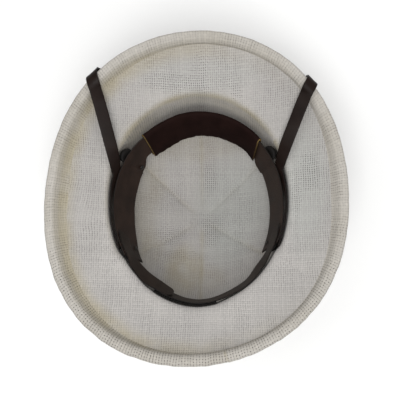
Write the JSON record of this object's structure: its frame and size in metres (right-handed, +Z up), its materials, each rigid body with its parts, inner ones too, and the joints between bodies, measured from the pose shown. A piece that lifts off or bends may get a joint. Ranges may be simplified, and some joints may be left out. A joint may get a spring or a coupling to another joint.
{
  "type": "pith helmet",
  "caption": "Moulded woven sun helmet with a wide rolled brim, a leather headband with a brow pad, and a chin strap worn over the front of the brim, lying crown down.",
  "frame": {"origin": "centre of the brim's outline, on the level that the crown's top rests on", "axes": "+Z up, out of the head opening; +Y towards the front of the helmet; the crown points down"},
  "size_m": [0.3092, 0.3398, 0.1503],
  "materials": {
    "woven_shell": "matt open plain weave, stiffened, off-white",
    "woven_binding": "matt rolled weave, off-white",
    "band_leather": "smooth dark brown leather with a soft sheen",
    "pad_leather": "matt maroon-brown suede, tan cut edges",
    "strap_leather": "smooth dark brown leather",
    "pile_cloth": "black hook-and-loop pile",
    "rivet_metal": "dark lacquered metal"
  },
  "bodies": {
    "root": {"shell": "woven_shell", "edge_binding": "woven_binding", "headband": "band_leather", "brow_pad": "pad_leather", "rear_strap_left": "band_leather", "rear_strap_right": "band_leather", "rear_pile_strip": "pile_cloth", "chin_strap": "strap_leather", "hanger_front_left": "band_leather", "rivet_front_left": "rivet_metal", "hanger_front_right": "band_leather", "rivet_front_right": "rivet_metal", "hanger_rear_left": "band_leather", "rivet_rear_left": "rivet_metal", "hanger_rear_right": "band_leather", "rivet_rear_right": "rivet_metal", "chin_rivet_left": "rivet_metal", "chin_rivet_right": "rivet_metal"}
  },
  "joints": []
}
